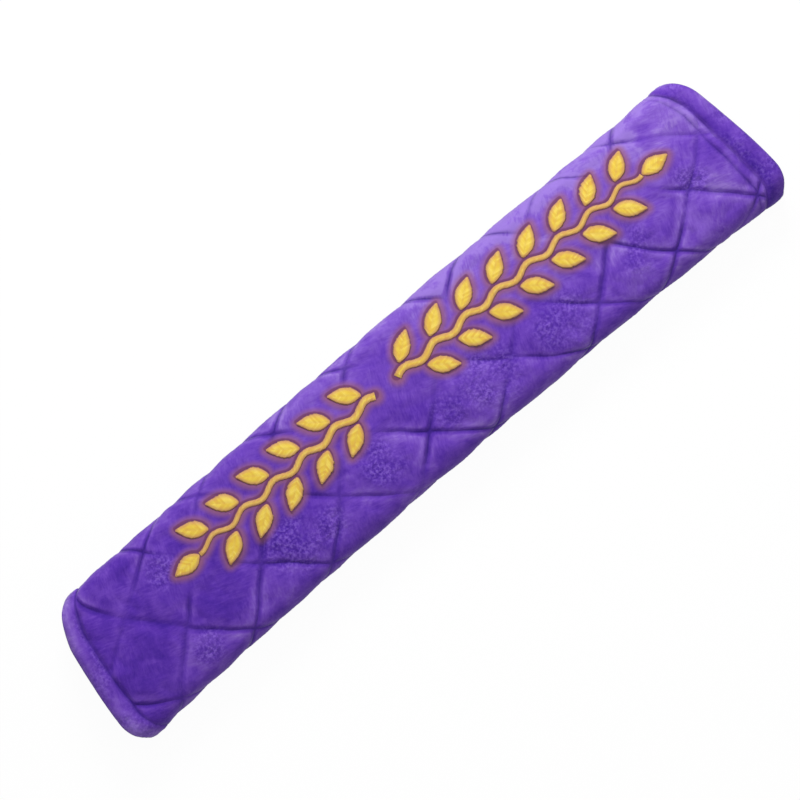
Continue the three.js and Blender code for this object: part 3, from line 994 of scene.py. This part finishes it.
def inner_lines(length, hem):
    """Mesh lines of the panel's inner face, with the turned in hems' edges among them."""
    edge = np.array([INNER_EDGE, hem / 2, hem - 3 * FACE_GAP, hem - FACE_GAP])
    low, high = hem + 2, length - hem - 2
    middle = np.linspace(low, high, round((high - low) / INNER_STEP) + 1)
    return np.concatenate([edge, middle, (length - edge)[::-1]])


def parting_at(distance):
    """How deep the pile opens at a distance from a seam."""
    return PILE_PARTING * np.exp(-((distance / PARTING_REACH) ** 2))


def pile_relief(along, around, turned, fields):
    """How far the pile stands above an even surface: naps, tufts and single fibres, calmer round
    the embroidery, where the pile is crushed and stands up as a whole."""
    raised = SUNK_BY * smooth(fields["near_stitch"], *RAISED_PILE)
    calm = 1 - smooth(fields["near_stitch"], *CALM_PILE)
    wide, narrow = NAP_HEIGHTS
    nap = wide * cell_noise(along, around, 5.5, 31)
    nap = nap + narrow * cell_noise(along, around, 2.6, 32) * (1 - turned)
    tuft_height = TUFT_HEIGHTS[0] + TUFT_HEIGHTS[1] * fields["tufted"]
    tufts = tuft_height * cell_noise(along, around, 1.4, 33) * (1 - TUFT_FADE * turned)
    fibres = np.random.default_rng(34).uniform(-1, 1, along.shape)
    fuzz = fibres * (FUZZ_HEIGHTS[0] + FUZZ_HEIGHTS[1] * turned)
    return raised + (nap + tufts + fuzz) * calm


def plush_panel(material):
    """The quilted panel: a fine outer face with its pillows, a plain inner face and round rims."""
    seen_from = SECTION[0][0] + SEEN_FOLD * SECTION[1][0]
    seen_to = girth - SECTION[4][0] - SEEN_FOLD * SECTION[3][0]
    column_stations = stations([(0, LENGTH, COLUMN_STEP)])
    row_stations = stations([
        (0, seen_from, UNDER_STEP),
        (seen_from, seen_to, FACE_STEP),
        (seen_to, girth, UNDER_STEP),
    ])
    column_places, column_turn = rim_place(column_stations, LENGTH)
    row_places, row_turn = rim_place(row_stations, girth)
    along, around = np.meshgrid(column_places - half_length, row_places)
    turn = np.maximum(*np.meshgrid(column_turn, row_turn))
    flat = turn == 0
    inset_x, inset_t = insets(along, around)
    distance, _, _ = quilting(along, around)
    share = quilt_share(along, around)
    in_field = (inset_x > END_HEM) & (inset_t > FLAP_HEM)
    turned = smooth(np.abs(section_at(around)[0]), corner_start, half_width - FOLD_EDGE)

    shift_along, shift_around, rise = blown_pillows(column_places - half_length, row_places)
    plump = ramp(rise, 0, SEAM_DEPTH) ** PLUMPNESS
    pillows = SEAM_DEPTH * (1 - plump) * share
    shift_along, shift_around = (
        np.clip(shift, -SHIFT_LIMIT, SHIFT_LIMIT) * share * (1 - turned)
        for shift in (shift_along, shift_around)
    )
    # Round the folds the padding is stretched, so its seams are shallow.
    pillows = pillows * (1 - turned) + FOLD_SEAM * pillow_sink(distance) * share * turned

    fields = pile_fields(along, around)
    parting = np.maximum(
        parting_at(distance) * fields["seam"], parting_at(fields["hem"]) * fields["hem_depth"]
    )
    parting = np.maximum(parting, parting_at(fields["hem"] - SHOULDER) * fields["shoulder"])
    parting = parting * (1 - FOLD_SMOOTHING * turned)
    wavering = inset_x + hem_waver(along, around) * smooth(inset_x, 0, END_HEM / 2)
    end_hem = hem_sink(wavering, END_HEM, END_SEAM_DEPTH, END_STEEPNESS) * (1 - HEM_EASE * turned)
    lumps = LUMP_HEIGHT * cell_noise(along, around, 6, 38)
    lumps = lumps * (1 - smooth(inset_x, END_HEM, END_HEM + LUMP_FADE))
    sink = np.maximum(end_hem, hem_sink(inset_t, FLAP_HEM, SEAM_DEPTH, FLAP_STEEPNESS))
    sink = np.maximum(sink, np.where(in_field, pillows, 0))
    sink = sink + (parting - pile_relief(along, around, turned, fields) - lumps) * flat
    out = PADDING - sink - turn * RIM_DROP
    # Below the loop tape the pile is pressed flat.
    on_tape = (girth - around < TAPE_EDGE + TAPE_WIDTH + TAPE_MARGIN) & flat
    out = np.where(on_tape, np.minimum(out, PADDING), out)
    points = fold(along + shift_along, around + shift_around, out)
    points[..., 2] = np.maximum(points[..., 2], 0)

    inner_columns, inner_rows = inner_lines(LENGTH, END_HEM), inner_lines(girth, FLAP_HEM)
    in_along, in_around = np.meshgrid(inner_columns - half_length, inner_rows)
    near_x, near_t = insets(in_along, in_around)
    hemmed = (near_x < END_HEM - 2 * FACE_GAP) | (near_t < FLAP_HEM - 2 * FACE_GAP)
    inner_points = fold(in_along, in_around, np.where(hemmed, -lining_stack, 0.0))
    piece = closed_sheet(
        "plush_panel",
        (column_stations, row_stations, points),
        (inner_columns, inner_rows, inner_points),
        material,
    )
    hidden = np.zeros(in_along.size)
    fields = {name: np.concatenate([values.ravel(), hidden]) for name, values in fields.items()}
    dress(piece, "quilted_panel", "plush", **fields)


LINING_LINES = (122, 110)
LINING_RIPPLE = [(0.05, 9, 41)]


def belt_lining(material):
    """The thin knitted sheet on the belt side, with its edges under the hems."""
    columns = np.linspace(END_HEM, LENGTH - END_HEM, LINING_LINES[0])
    rows = np.linspace(FLAP_HEM, girth - FLAP_HEM, LINING_LINES[1])
    along, around = np.meshgrid(columns - half_length, rows)
    ripple = stray(along, around, LINING_RIPPLE)
    outer, inner = (
        (columns, rows, fold(along, around, out + ripple)) for out in (-FACE_GAP, -lining_stack)
    )
    piece = closed_sheet("belt_lining", outer, inner, material)
    dress(piece, "lining", "lining")


LINES_PER_STRAND = 5
LINES_ACROSS = 15
LEAF_SLANT = 0.9  # of the strands, as a share of the half width
STEM_SLANT = 1.2
GROOVE_WIDTH = 0.12
CROWN_FLATNESS = 2.4  # above 2 the stitches are flatter along the middle than a round thread
CROWN_EDGE = 0.75  # below 1 they fall off more steeply at the edges
STRAND_STRAY = (0.12, 0.06, -0.08)  # of a strand's end: by strand, by thread and for all


def satin_piece(name, line, length, material):
    """An embroidered area: strands run out from its middle to both edges, side by side. A leaf's
    strands slant towards its tip and leave a groove between them along its middle."""
    steps = max(8, round(length / THREAD_PITCH)) * LINES_PER_STRAND
    is_leaf = "leaf" in name
    sides = np.linspace(-1, 1, LINES_ACROSS)
    slant = LEAF_SLANT * np.abs(sides) if is_leaf else STEM_SLANT * sides
    groove = np.exp(-((sides / GROOVE_WIDTH) ** 2)) if is_leaf else np.zeros(LINES_ACROSS)
    crown = np.clip(1 - np.abs(sides) ** CROWN_FLATNESS, 0, 1) ** CROWN_EDGE
    seed = sum(map(ord, name))
    strand_shade = np.random.default_rng(seed).uniform(0, 1, (2, steps))
    by_strand, by_thread, for_all = STRAND_STRAY
    rings, edges, strands = [], [], []
    for step in range(steps + 1):
        share = step / steps
        x, y, half = line(share)
        ahead, behind = line(min(1, share + 0.01)), line(max(0, share - 0.01))
        run = Vector((ahead[0] - behind[0], ahead[1] - behind[1])).normalized()
        phase = share * length / THREAD_PITCH - slant * half / THREAD_PITCH
        thread = np.abs(np.sin(math.pi * phase)) ** 0.6
        which = strand_shade[(sides > 0).astype(int), np.floor(phase).astype(int) % steps]
        height = THREAD_RELIEF * crown * (0.72 - 0.15 * groove + 0.1 * which)
        height = height + THREAD_HEIGHT * thread * crown
        strand_end = by_strand * which + by_thread * thread + for_all
        reach = sides * half * (1 + strand_end * np.abs(sides) ** 3)
        ends = np.clip(min(share, 1 - share) * length / END_TAPER, 0.15, 1)
        along = np.append(x - run.y * reach, x)
        around = np.append(face_middle + y + run.x * reach, face_middle + y)
        out = np.append(PADDING + FACE_GAP + height * ends, PADDING + FACE_GAP)
        rings.append(fold(along, around, out))
        # Edge colour: where the thread dips into the pile, and painted shade on the rounded edges,
        # between strands and in a leaf's middle groove
        rim = np.clip(1 - half * (1 - np.abs(sides)) / PEACH_EDGE, 0, 1)
        edge = np.clip(0.9 * rim + 0.4 * (1 - thread) + 0.15 * groove, 0, 1)
        edges.append(np.append(edge, 1.0))
        strands.append(np.append(0.6 * which, 0.0))
    count = LINES_ACROSS + 1
    a = np.arange(steps * count).reshape(steps, count)
    quads = np.stack([a, a + count, np.roll(a, -1, 1) + count, np.roll(a, -1, 1)], axis=-1)
    last = steps * count
    caps = [tuple(range(count)), tuple(last + corner for corner in reversed(range(count)))]
    faces = quads.reshape(-1, 4).tolist() + caps
    piece = new_piece(f"satin_{name}", np.concatenate(rings), faces, material)
    dress(piece, name, "satin_thread", edge=np.concatenate(edges), strand=np.concatenate(strands))


# The pieces
plush_panel(polyester_plush())
belt_lining(tricot())
tape = nylon_tape()
for node_name in ("hook_tape", "loop_tape"):
    tape_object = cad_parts[node_name]
    tape_object.data.materials.clear()
    tape_object.data.materials.append(tape)
thread_material = rayon_thread()
for part_name, part_line, part_length in ALL_PARTS:
    satin_piece(part_name, part_line, part_length, thread_material)

# The camera looks straight down, and the pad lies across its frame as in the photograph.
PAD_ANGLE = math.radians(40.7)  # of the pad's length above the horizontal
PAD_MIDDLE = (413.6, 403.7)  # pixels, from the top left
PIXEL = 0.3715 * MM
CAMERA_DISTANCE = 1.6
OUTLINE_HEIGHT = 0.015  # of the pad's widest part, where PIXEL holds
FILM_WIDTH = 36

right = Vector((math.cos(PAD_ANGLE), -math.sin(PAD_ANGLE), 0))
up = Vector((math.sin(PAD_ANGLE), math.cos(PAD_ANGLE), 0))
across_frame = (PHOTO_PIXELS / 2 - PAD_MIDDLE[0]) * PIXEL
up_frame = (PAD_MIDDLE[1] - PHOTO_PIXELS / 2) * PIXEL
place = right * across_frame + up * up_frame + Vector((0, 0, OUTLINE_HEIGHT + CAMERA_DISTANCE))
camera_data = bpy.data.cameras.new("camera")
camera_data.sensor_fit = "HORIZONTAL"
camera_data.sensor_width = FILM_WIDTH
camera_data.lens = FILM_WIDTH * CAMERA_DISTANCE / (PHOTO_PIXELS * PIXEL)
camera = bpy.data.objects.new("camera", camera_data)
bpy.context.scene.collection.objects.link(camera)
turned_camera = Matrix((right, up, Vector((0, 0, 1)))).transposed().to_4x4()
camera.matrix_world = Matrix.Translation(place) @ turned_camera
bpy.context.scene.camera = camera


def soft_lamp(name, location, size, power):
    """A round area lamp that shines at the middle of the pad."""
    lamp = bpy.data.lights.new(name, "AREA")
    lamp.shape = "DISK"
    lamp.size = size
    lamp.energy = power
    lamp_object = bpy.data.objects.new(name, lamp)
    lamp_object.location = location
    lamp_object.rotation_euler = (-Vector(location)).to_track_quat("-Z", "Y").to_euler()
    bpy.context.scene.collection.objects.link(lamp_object)


soft_lamp("key", (0.3, 0.5, 0.5), 0.35, 4.7)
soft_lamp("overhead", (0.1, 0.1, 1.2), 0.8, 4.0)

world = bpy.data.worlds.new("studio")
bpy.context.scene.world = world
world.use_nodes = True
world.node_tree.nodes.clear()
light_path = add_node(world, "LightPath")
room = add_node(world, "Background", {"Color": (1, 1, 1, 1), "Strength": 0.35})
white = add_node(world, "Background", {"Color": (1, 1, 1, 1), "Strength": 1.0})
seen = add_node(
    world,
    "MixShader",
    {0: (light_path, "Is Camera Ray"), 1: (room, "Background"), 2: (white, "Background")},
)
add_node(world, "OutputWorld", {"Surface": (seen, "Shader")})

FLOOR_REACH = 3.0
corners = np.array([(-1, -1, 0), (1, -1, 0), (1, 1, 0), (-1, 1, 0)]) * FLOOR_REACH
new_piece("floor", corners, [(0, 1, 2, 3)], paper_floor())

bpy.context.scene.view_settings.view_transform = "Standard"
